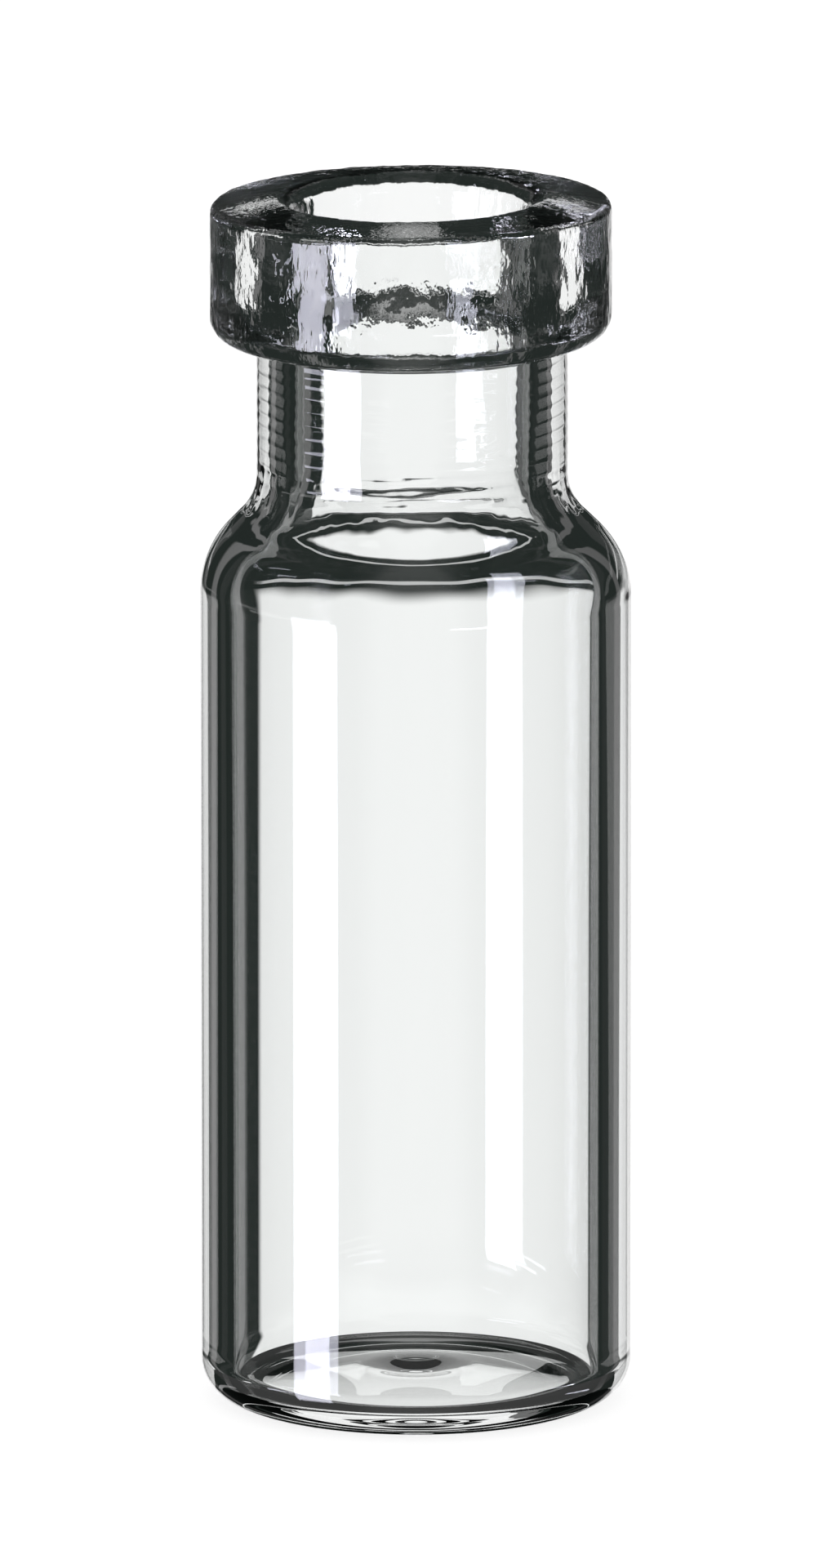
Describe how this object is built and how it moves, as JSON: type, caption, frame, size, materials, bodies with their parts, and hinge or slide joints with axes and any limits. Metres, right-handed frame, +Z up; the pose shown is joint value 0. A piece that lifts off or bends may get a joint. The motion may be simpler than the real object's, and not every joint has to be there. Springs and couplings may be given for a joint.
{
  "type": "glass sample vial",
  "caption": "Small clear glass sample vial: a straight round body with a rounded heel, a short neck and a thick crimp lip around an open mouth.",
  "frame": {"origin": "centre of the ring that the vial stands on, on the underside of the base", "axes": "+Z up along the vial's axis, out of the mouth; the vial is round, so +X and +Y are free"},
  "size_m": [0.0116, 0.0116, 0.033],
  "materials": {
    "clear_glass": "clear polished borosilicate glass"
  },
  "bodies": {
    "root": {"vial": "clear_glass"}
  },
  "joints": []
}
